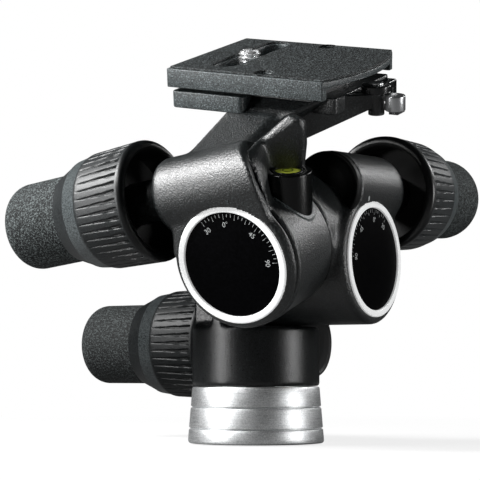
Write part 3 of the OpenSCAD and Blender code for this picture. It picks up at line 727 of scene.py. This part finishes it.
def make_tilt_stage():
    hub = lathe([(0, 0), (HUB_B_R, 0), (HUB_B_R, DIAL_B - 1.7), (25.9, DIAL_B), (0, DIAL_B)])
    web = block(DIAL_B - 15.9, 0, HUB_Z, DIAL_B - 0.9, HUB_B_R, HUB_Z + 22)
    neck = lathe([(0, 10), (27.6, 10), (27.6, SEAM - SEAM_GAP), (0, SEAM - SEAM_GAP)])
    mesh = casting((hub, FACE_B), (case(TAIL_R), WORM_R), web, (neck, FACE_A), fillet=2.6, edge=0.5)
    sink_face(mesh, FACE_B, DIAL_B)
    piece("tilt_casting", mesh, "tilt_stage", "cast_paint", PAINT, "tilt_housing", matrix=TILT, angle=180)
    piece("tilt_tail_cap", dished_cap(TAIL_R), "tilt_stage", "cap_paint", CAP_PAINT, "tilt_worm_cap",
          matrix=TILT @ WORM_R)


def slanted_tail():
    """The tail of the side worm housing, which ends in a slant: longest on the dial's side."""
    points = []
    for around in range(-50, 95, 6):
        front, up = math.cos(math.radians(around)), math.sin(math.radians(around))
        for reach in (0.0, -14.4 - 8.6 * max(0.0, front) ** 2):
            points.append(WORM_L @ Vector((CASE_R * up, -CASE_R * front, reach)))
    to_flange = [(37, -62.6, 116), (46, -62.6, 114), (45, -58.5, 115.5), (33, -58.5, 118)]
    return hull(points + to_flange)


def gear_casting():
    """The gear housing with the flange of dial A, and the arm that widens up to the platform."""
    back = DIAL_A - FLANGE + 1.0
    flange = lathe([(0, back), (HUB_A_R, back), (HUB_A_R, DIAL_A - 2.6), (25.4, DIAL_A), (0, DIAL_A)])
    web = block(AXIS_X - HUB_A_R, -DIAL_A, AXIS_Z, AXIS_X - 4, -47.1, AXIS_Z + 22)
    foot = [(-0.5, -56, 123.5), (-0.5, -36, 123.5), (-0.5, -56, 133.5), (-0.5, -36, 133.5),
            (19.5, -56, 123.5), (19.5, -56, 133.5), (28.5, -43, 123.5), (28.5, -43, 133.5),
            (28.5, -36, 133.5)]
    head = [(4.6, -24.1, 149), (4.6, 1.6, 149), (25.5, -24.1, 149), (35, -13, 149), (35, 1.6, 149)]
    arm = hull(foot + head)
    top = corners(4.6, -14.5, 155.0, 45.0, 0, 155.6) + [(33.0, -14, 145.5), (47.5, -10, 155.4)]
    flare = hull(corners(5.0, -24.0, 145.0, 27.0, 0, 147) + top)
    return casting((flange, FACE_A), (case(TAIL_L, edge_r=2.0), WORM_L), web, arm, flare, slanted_tail(),
                   fillet=2.0, edge=0.4)


def hub_casting():
    """The hub behind dial A, the wall beside the worm housing's tail, and the lobe behind the level."""
    front = DIAL_A - FLANGE
    drum = lathe([(0, SEAM + SEAM_GAP), (HUB_A_R, SEAM + SEAM_GAP), (HUB_A_R, front), (0, front)])
    wall_edge = [(31.0, -56.5, 142.6), (34.2, -59.6, 140), (37.2, -61.6, 137), (39.6, -62.0, 133.4),
                 (41.2, -61.6, 129.6), (42, -60.5, 125), (43, -58.5, 119.5)]
    wall_back = [(29, -42, 143), (30, -38, 145), (31, -43, 128), (31.5, -44, 120), (38, -46, 119)]
    lobe_edge = [(28.1, -46, 139.2), (31.2, -41.5, 144.5), (35.0, -38, 148.8), (40.3, -36, 153.6),
                 (44.5, -35, 152.5), (46.3, -35, 150.4), (47.0, -35, 147.8), (46.0, -34, 143.3),
                 (44.5, -33, 140), (43.0, -32, 137.5), (40.8, -38.8, 149.0), (44.6, -37, 151.4)]
    lobe_back = [(28, -30, 139), (30, -28, 146), (38, -26, 151.5), (44, -28, 150), (45, -29, 140),
                 (34, -28.3, 120), (42, -28.3, 118)]
    wall, lobe = hull(wall_edge + wall_back), hull(lobe_edge + lobe_back)
    return casting((drum, FACE_A), wall, lobe, fillet=1.6, edge=0.4)


BOSS_R, BOSS_FOOT = 9.9, 100


def make_side_stage():
    mesh = gear_casting()
    sink_face(mesh, FACE_A, DIAL_A)
    piece("gear_casting", mesh, "side_stage", "cast_paint", PAINT, "gear_housing_a", matrix=SIDE, angle=180)
    piece("hub_casting", hub_casting(), "side_stage", "cast_paint", PAINT, "hub_a", matrix=SIDE, angle=180)
    outline = [(0, BOSS_FOOT), (BOSS_R, BOSS_FOOT), (BOSS_R, LEVEL_Z), (7.1, LEVEL_Z), (6.5, LEVEL_Z - 0.9),
               (6.5, LEVEL_Z - 3), (0, LEVEL_Z - 3)]
    boss = lathe(soften(outline, [0, 0, 0.7, 0.4, 0.2, 0, 0]))
    boss.transform(shift(LEVEL_X, LEVEL_Y, 0))
    piece("level_boss", boss, "side_stage", "lever_black", BOSS_BLACK, matrix=SIDE)
    # The raised line round the foot of the boss is what a tube leaves in a skin on the hub; its real edge is
    # painted in the lighter plate paint, as a highlight along the foot
    skin = loose_object(lathe([(20, 28.6), (28.5, 28.6), (28.5, 55.6), (20, 55.6)], 256))
    skin.matrix_world = shift(-LEVEL_X, -LEVEL_Y, 0) @ FACE_A
    tube = lathe([(9.8, BOSS_FOOT), (10.8, BOSS_FOOT), (10.8, 129), (9.8, 129)], 128)
    welt = trimmed(tube, "INTERSECT", skin)
    welt.transform(shift(LEVEL_X, LEVEL_Y, 0))
    piece("boss_welt", welt, "side_stage", "cast_paint", PLATE_PAINT, matrix=SIDE)


# ---------------------------------------------------------------------------
# Dials
# ---------------------------------------------------------------------------
DISC_R, RING_IN, RING_OUT, RING_PROUD = 21.75, 21.9, 24.7, 0.7
TICKS_R, FIGURES_R, FIGURE_SIZE = 21.1, 16.6, 3.0


def tick(long):
    """The first tick of a dial, short or long, before it is set round."""
    return block(-0.1, TICKS_R - (2.3 if long else 1.3), -0.03, 0.1, TICKS_R, 0.03)


def make_dial(letter, body, ring_body, face, matrix, ring_matrix, sign):
    """A black disc with ticks every 5 degrees from -30 to 90, and the next stage's white ring round it."""
    disc = lathe(soften([(0, face - 2), (DISC_R, face - 2), (DISC_R, face), (0, face)], [0, 0, 0.2, 0]))
    piece("dial_disc_" + letter, disc, body, "dial_black", BLACK, "dial_" + letter, matrix=matrix)
    marks = []
    for long, step in ((False, 5), (True, 15)):
        count = 120 // step + 1
        marks.append(set_round(tick(long), count, math.radians(sign * 30), math.radians(-sign * step), WHITE))
    for value, text in ((-30, "30"), (0, "0°"), (45, "45"), (90, "90")):
        turned = turn(-sign * value, "Z") @ shift(0.35 if value == 0 else 0, FIGURES_R, 0)
        marks.append(words(text, FIGURE_SIZE, turned))
    piece("dial_marks_" + letter, mesh_of(joined(*marks)), body, "index_white", WHITE,
          matrix=matrix @ shift(0, 0, face + 0.01), flat=True)
    low, high = face - SEAT_DEPTH, face + RING_PROUD
    ring = soften([(RING_IN, low), (RING_OUT, low), (RING_OUT, high), (RING_IN, high)], [0, 0, 0.45, 0.35])
    piece("dial_ring_" + letter, lathe(ring, 192), ring_body, "dial_ring", RING, "bezel_" + letter,
          matrix=ring_matrix)


# ---------------------------------------------------------------------------
# Knobs: ribbed collar, rubber grip
# ---------------------------------------------------------------------------
RIBS, RIB_ROWS, RIB_STEPS = 44, 13, 14


def collar_sector():
    """One pitch of the ribbed collar as a strip of its whole closed outline."""
    outer = [(19.12, 75.4), (19.6, 75.5), (23.0, 67.6), (23.4, 67.0),
             (24.3, 60.6), (24.7, 60.0), (24.9, 59.2)]
    mouth = [(25.76, 37.6), (25.8, 37.2), (25.72, 36.4), (25.4, 35.5), (24.8, 34.9), (24.0, 34.62),
             (23.0, 34.6), (22.2, 34.85), (21.7, 35.4), (21.5, 36.4), (21.3, 41.5), (20.9, 44.6),
             (20.2, 46.0), (9.06, 46.0), (9.06, 52.0), (17.8, 52.6), (19.12, 54.2)]
    # Radius and height, then how deep and how wide the groove between two ribs is there
    rows = [(r, z, 0, 0) for r, z in outer]
    for k in range(RIB_ROWS):
        t = k / (RIB_ROWS - 1)
        rows.append((24.95 + 0.8 * t, 58.8 - 20.9 * t, 0.25 + 1.05 * t, 0.03 + 0.18 * t))
    rows += [(r, z, 0, 0) for r, z in mouth]
    pitch = 2 * math.pi / RIBS
    bm = bmesh.new()
    strips = []
    for r, z, depth, share in rows:
        strip = []
        for k in range(RIB_STEPS + 1):
            t = k / RIB_STEPS - 0.5
            cut = depth * min(1.0, max(0.0, (share - abs(t)) / 0.08 + 0.5))
            strip.append(bm.verts.new(((r - cut) * math.cos(t * pitch), (r - cut) * math.sin(t * pitch), z)))
        strips.append(strip)
    for low, high in zip(strips, strips[1:] + strips[:1]):
        for k in range(RIB_STEPS):
            bm.faces.new((low[k], low[k + 1], high[k + 1], high[k]))
    return mesh_of(bm)


def make_knob(letter, knob_body, collar_body, matrix, rubber=RUBBER, light=1.0):
    """A ribbed collar that releases the worm, and the rubber grip of the knob beyond it; light sets the
    collar's painted light or shade.
    """
    middle = matrix @ Vector((0, 0, 0)) * TO_METRES
    direction = (matrix.to_3x3() @ Vector((0, 0, 1))).normalized()
    finish = moulded_collar("moulded collar " + letter, middle, direction, light)
    ribbed = set_round(collar_sector(), RIBS, 0.0, 2 * math.pi / RIBS, finish, 0.002)
    collar = mesh_of(joined(ribbed))
    piece("ribbed_collar_" + letter, collar, collar_body, "collar", finish, "collar_" + letter,
          matrix=matrix, angle=50)
    outline = [(14.2, 56.2), (18.8, 56.2)] + arc_points(11.3, 99.5, 7.5, range(0, 91, 6))
    outline += [(5.0, 107.0), (0, 107.0), (0, 102.0), (14.2, 102.0)]
    piece("rubber_grip_" + letter, lathe(outline, 128), knob_body, "grip_rubber", rubber, "grip_" + letter,
          matrix=matrix, angle=50)


# ---------------------------------------------------------------------------
# Platform, lever and plate
# ---------------------------------------------------------------------------
def rounded_box(x0, y0, x1, y1, r):
    return soften([(x0, y0), (x1, y0), (x1, y1), (x0, y1)], r, 6)


def long_hole(r):
    """The plate's slot for the camera screw."""
    y0, y1 = PLATE_F + 14.5, PLATE_B - 9.0
    low = arc_points(SCREW_X, y0, r, np.linspace(180, 360, 16))
    return low + arc_points(SCREW_X, y1, r, np.linspace(0, 180, 16))


def small_holes(r):
    """The two round holes, one near each long edge of the plate."""
    middles = PLATE_F + 4.8, PLATE_B - 4.8
    return [[(21 + x, middle + y) for x, y in round_points(r, 32)] for middle in middles]


def plate_edge(inset, side):
    """The plate's outline, bowed at the lever's end."""
    middle = (PLATE_F + PLATE_B) / 2
    half = (PLATE_B - PLATE_F) / 2
    radius = (half ** 2 + BULGE ** 2) / (2 * BULGE)
    centre = PLATE_R + BULGE - radius
    r = radius - inset / 2
    high = half - inset
    reach = math.asin(high / r)
    bow = [(centre + r * math.cos(a), middle + r * math.sin(a)) for a in np.linspace(-reach, reach, 48)]
    left = PLATE_L + side
    return soften([(left, middle - high)] + bow + [(left, middle + high)], [0.8] + [0.0] * 48 + [0.8])


def make_platform():
    rail = slab([rounded_box(-21.6, -24.9, 12.5, 40.5, 2.2)], RAIL_UNDER, RAIL_TOP, 0.6)
    piece("platform_rail", rail, "side_stage", "cast_paint", PLATE_PAINT, matrix=SIDE)
    bed = slab([rounded_box(9.0, -12.0, 49.5, 40.5, 1.5)], RAIL_UNDER + 0.1, RAIL_TOP - 0.1, 0.5)
    seat = block(-14, -17, RAIL_TOP - 1, 41.5, 33.5, PLATE_UNDER)
    piece("platform_bed", mesh_of(joined(bed, seat)), "side_stage", "cast_paint", PAINT, "platform",
          matrix=SIDE)
    # The front screw sits lower, inside the arm that slopes away under the bed
    screw = lathe([(0, 147.4), (2.5, 147.4), (2.5, 148.0), (4.2, 148.0), (4.2, 149.2), (0, 149.2)], 48)
    screws = joined((screw, shift(AXIS_X - 7, -19.4, -4.4)), (screw, shift(AXIS_X - 7, -7.4, 0)))
    piece("platform_screw_pair", mesh_of(screws), "side_stage", "cast_paint", STEEL, "platform_screws",
          matrix=SIDE)


def make_lever_bracket():
    """The wall that runs slantwise under the plate, the barrel of the lever, and the foot of the catch."""
    outline = [(0, 135.5), (5, 137), (35, 149.5), (35, 155.2), (13.5, 155.2), (13.5, 156.6), (0, 156.6)]
    wall = slab([soften(outline, [0, 2, 0.6, 0.5, 0.4, 0.4, 0])], -5, 0, 0.5)
    wall.transform(shift(AXIS_X + 6.5, -14, 0) @ turn(33.7, "Z") @ shift(-4, 0, 0) @ turn(90, "X"))
    barrel = lathe(soften([(1.6, 146.1), (3.4, 146.1), (3.4, 155.3), (1.6, 155.3)], [0, 0.3, 0.3, 0]), 64)
    barrel.transform(shift(LEVER_X, LEVER_Y, 0))
    tie = block(49.6, LEVER_Y - 1, RAIL_UNDER + 0.2, LEVER_X - 2, LEVER_Y + 3.2, RAIL_TOP - 0.5)
    foot = [block(LEVER_X - 1, LEVER_Y + 2, FOOT_UNDER, LEVER_X + 2, LEVER_Y + 6.8, FOOT_TOP),
            block(LEVER_X - 1, LEVER_Y + 4.6, FOOT_UNDER, CATCH_X + 1, LEVER_Y + 6.9, FOOT_TOP),
            block(CATCH_X - 2, LEVER_Y - 2, FOOT_UNDER, CATCH_X + 2, LEVER_Y + 5.2, FOOT_TOP - 1)]
    mesh = mesh_of(joined(wall, barrel, tie, *foot))
    piece("lever_bracket", mesh, "side_stage", "cast_paint", PAINT, "platform_bracket", matrix=SIDE)


def make_lever_and_catch():
    outline = [(1.6, LEVER_UNDER), (6.3, LEVER_UNDER), (6.3, LEVER_TOP), (1.6, LEVER_TOP)]
    head = lathe(soften(outline, [0, 0.3, 0.6, 0]), 96)
    head.transform(shift(LEVER_X, LEVER_Y, 0))
    left, right = LEVER_X - 1.5, LEVER_X + 3.5
    arm = slab([rounded_box(left, LEVER_Y + 3, right, LEVER_Y + 13, 0.8)], LEVER_UNDER, LEVER_TOP, 0.5)
    drop = slab([rounded_box(left, LEVER_Y + 9, right, LEVER_Y + 13.4, 0.8)], 149.7, LEVER_TOP - 0.4, 0.4)
    piece("lever_arm", mesh_of(joined(head, arm, drop)), "clamp_lever", "lever_black", LEVER_BLACK, "lever",
          matrix=SIDE)
    outline = [(0, 147.2), (1.0, 147.2), (1.0, 148.52), (4.25, 148.52), (4.25, 155.15), (0, 155.15)]
    stud = lathe(soften(outline, [0, 0, 0, 0.5, 0.6, 0]), 96)
    stud.transform(shift(CATCH_X, LEVER_Y, 0))
    piece("catch_stud", stud, "catch_button", "catch_silver", CATCH, "safety_catch", matrix=SIDE)


def make_plate():
    outlines = [rounded_box(PLATE_L, PLATE_F, PLATE_R, PLATE_B, 0.8), long_hole(5.2)] + small_holes(3.8)
    bar = slab(outlines, PLATE_UNDER, PLATE_TOP - 0.9, 0.35)
    # Room for the screw's head, and the hollow under the leaf at the lever's end
    step = slab([long_hole(8.4)], PLATE_UNDER - 2, PLATE_UNDER + 3.6, 0.1)
    hollow = block(42.5, PLATE_F + 3.2, PLATE_UNDER - 1, PLATE_R + 1, PLATE_B - 3.2, PLATE_TOP - 3.4)
    bar = trimmed(bar, "DIFFERENCE", loose_object(step), loose_object(hollow))
    leaf = slab([plate_edge(0.5, 60.0)], PLATE_TOP - 3.4, PLATE_TOP - 0.92, 0.3)
    piece("plate_metal", mesh_of(joined(leaf, bar)), "plate", "plate_metal", PLATE_PAINT, "plate_body",
          matrix=SIDE)
    pad = slab([plate_edge(0.9, 1.2), long_hole(6.0)] + small_holes(4.1), PLATE_TOP - 1.0, PLATE_TOP, 0.3)
    piece("plate_grip_pad", pad, "plate", "pad_rubber", PAD, "plate_pad", matrix=SIDE)


THREAD_PITCH = 1.59


def make_screw():
    """The camera screw: a flat head under the plate, thread rings, and a driver's cross in the top."""
    top = PLATE_TOP + 1.8
    outline = [(0, 158.0), (7.6, 158.0), (8.0, 158.4), (8.0, 160.4), (7.6, 160.8), (4.2, 160.8)]
    z = 161.2
    while z + THREAD_PITCH < top - 0.3:
        outline += [(3.3, z), (3.35, z + 0.35), (4.76, z + 0.8), (4.76, z + 0.95), (3.35, z + 1.4)]
        z += THREAD_PITCH
    outline += [(4.2, top - 0.5), (3.8, top), (0, top)]
    half, deep = 0.9, 1.7
    slots = [block(-20, -half, top - deep, 20, half, top + 4), block(-half, -20, 157.0, half, 20, 159.2),
             block(-half, -20, top - deep, half, 20, top + 4)]
    mesh = trimmed(lathe(outline, 96), "DIFFERENCE", *map(loose_object, slots))
    mesh.transform(shift(SCREW_X, SCREW_Y, 0))
    piece("camera_screw_turned", mesh, "screw", "steel", SCREW, "camera_screw", matrix=SIDE)


def make_level():
    at = SIDE @ shift(LEVEL_X, LEVEL_Y, LEVEL_Z)
    rim = lathe(soften([(5.2, -1.6), (6.4, -1.6), (6.4, 0.05), (5.2, 0.05)], [0, 0, 0.25, 0.3]), 96)
    piece("level_rim", rim, "side_stage", "lever_black", LEVER_BLACK, matrix=at)
    glass = lathe([(0, -3), (5.5, -3), (5.5, -0.7), (4.2, -0.35), (2.2, -0.12), (0, -0.05)], 96)
    piece("level_vial", glass, "side_stage", "vial", FLUID, "level_glass", matrix=at)
    circle = lathe(soften([(2.0, -0.2), (2.3, -0.2), (2.3, 0.02), (2.0, 0.02)], 0.05), 64)
    piece("level_circle", circle, "side_stage", "dial_black", BLACK, matrix=at)


# ---------------------------------------------------------------------------
# Whole head
# ---------------------------------------------------------------------------
make_base()
make_pan_stage()
make_tilt_stage()
make_side_stage()
make_dial("a", "tilt_stage", "side_stage", DIAL_A, TILT @ FACE_A, SIDE @ FACE_A, 1)
make_dial("b", "pan_stage", "tilt_stage", DIAL_B, FACE_B, TILT @ FACE_B, -1)
# The pan knob's collar and rubber are painted darker as shade; the front knob's collar is painted lighter, as
# light
make_knob("p", "pan_knob", "pan_collar", WORM_P, PAINTED_SHADE_RUBBER, 0.4)
make_knob("r", "front_knob", "front_collar", TILT @ WORM_R, RUBBER, 1.5)
make_knob("l", "side_knob", "side_collar", SIDE @ WORM_L)
make_platform()
make_lever_bracket()
make_lever_and_catch()
make_plate()
make_screw()
make_level()

# The CAD nodes that are left showing, most of them inside
CAD_FINISH = {
    "thread_bush": STEEL, "wheel_screws": STEEL, "lever_pin": STEEL,
    "pan_wheel": BRONZE, "wheel_a": BRONZE, "wheel_b": BRONZE,
    "spindle_a": STEEL, "spindle_b": STEEL, "worm_p": STEEL, "worm_r": STEEL, "worm_l": STEEL,
    "core_p": CORE_BLACK, "core_r": CORE_BLACK, "core_l": CORE_BLACK,
    "index_a": PLATE_PAINT, "index_b": WHITE,
}
for name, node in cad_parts.items():
    node.data.materials.clear()
    node.data.materials.append(CAD_FINISH.get(name, PAINT))


# ---------------------------------------------------------------------------
# Floor, light and camera
# ---------------------------------------------------------------------------
# The background's white near the object and far from it, and the distances, in metres, between which it rises
NEAR, FAR = 0.12, 0.45
NEAR_WHITE, FAR_WHITE = 0.8, 1.0
# How pale the floor is in the light that it throws on the object, and to the camera
FLOOR_BOUNCE, FLOOR_SEEN = 0.13, 0.9
ROOM_LIGHT = 0.012


def pale_floor():
    f = Finish("pale floor", (FLOOR_SEEN, FLOOR_SEEN, FLOOR_SEEN), 0.9)
    seen = f.node("ShaderNodeLightPath", {}, out="Is Camera Ray")
    f.set("Base Color", f.node("ShaderNodeMapRange", {}, seen, 0.0, 1.0, FLOOR_BOUNCE, FLOOR_SEEN))
    fade = f.node("ShaderNodeMapRange", {}, f.length(f.place), NEAR, FAR, NEAR_WHITE, FAR_WHITE)
    glow = f.node("ShaderNodeEmission", {})
    mix = f.node("ShaderNodeMixShader", {}, fade * seen, Wire(f, f.shader.outputs[0]), glow)
    f.tree.links.new(mix.socket, f.tree.nodes["Material Output"].inputs["Surface"])
    return f.material


def make_floor():
    bm = bmesh.new()
    bmesh.ops.create_grid(bm, x_segments=1, y_segments=1, size=6.0)
    floor = loose_object(mesh_of(bm, "floor"), "floor")
    floor.location = (0, 0, -0.0005)
    floor.data.materials.append(pale_floor())


def make_world():
    """White to the camera, and a dim even light on the object."""
    world = bpy.data.worlds.new("studio")
    bpy.context.scene.world = world
    world.use_nodes = True
    nodes, link = world.node_tree.nodes, world.node_tree.links.new
    plain, white = nodes["Background"], nodes.new("ShaderNodeBackground")
    plain.inputs["Color"].default_value = (0.8, 0.85, 0.86, 1)
    plain.inputs["Strength"].default_value = ROOM_LIGHT
    white.inputs["Color"].default_value = (1, 1, 1, 1)
    white.inputs["Strength"].default_value = 1.0
    mix, rays = nodes.new("ShaderNodeMixShader"), nodes.new("ShaderNodeLightPath")
    link(rays.outputs["Is Camera Ray"], mix.inputs[0])
    link(plain.outputs[0], mix.inputs[1])
    link(white.outputs[0], mix.inputs[2])
    link(mix.outputs[0], nodes["World Output"].inputs["Surface"])


# Lamps are placed as the camera sees the head: to its right, away from it and up, in metres
AIM = Vector((0.01, -0.01, 0.09))
LAMP_YAW = math.radians(31.26)
RIGHT = Vector((math.cos(LAMP_YAW), math.sin(LAMP_YAW), 0))
AHEAD = Vector((-math.sin(LAMP_YAW), math.cos(LAMP_YAW), 0))


def softbox(name, right, ahead, up, size, power):
    lamp = bpy.data.lights.new(name, "AREA")
    lamp.shape = "RECTANGLE"
    lamp.size, lamp.size_y = size
    lamp.energy = power
    ob = loose_object(lamp, name)
    ob.location = RIGHT * right + AHEAD * ahead + Vector((0, 0, up))
    ob.rotation_euler = (AIM - ob.location).to_track_quat("-Z", "Y").to_euler()


make_floor()
make_world()
softbox("high left", -0.68, -0.12, 0.58, (0.26, 0.34), 13.0)
softbox("front left", -0.52, -0.5, 0.62, (0.16, 0.16), 2.2)
softbox("low left", -0.78, -0.36, 0.14, (0.14, 0.26), 3.0)
softbox("right front", 0.8, -0.3, 0.12, (0.16, 0.26), 2.6)
softbox("right back", 0.7, 0.3, 0.5, (0.2, 0.2), 2.4)

# The fitted camera: its focal length in pixels of the 480 pixel frame
FOCAL, FRAME, SENSOR = 1655.6, 480.0, 36.0
camera = bpy.data.cameras.new("camera")
camera.sensor_width = SENSOR
camera.lens = SENSOR * FOCAL / FRAME
camera.clip_start, camera.clip_end = 0.05, 20.0
eye = loose_object(camera, "camera")
eye.location = (0.37412, -0.62992, 0.03212)
eye.rotation_euler = (math.radians(90 + 4.4658), 0.0, math.radians(31.2568))
bpy.context.scene.camera = eye
bpy.context.scene.view_settings.view_transform = "Standard"
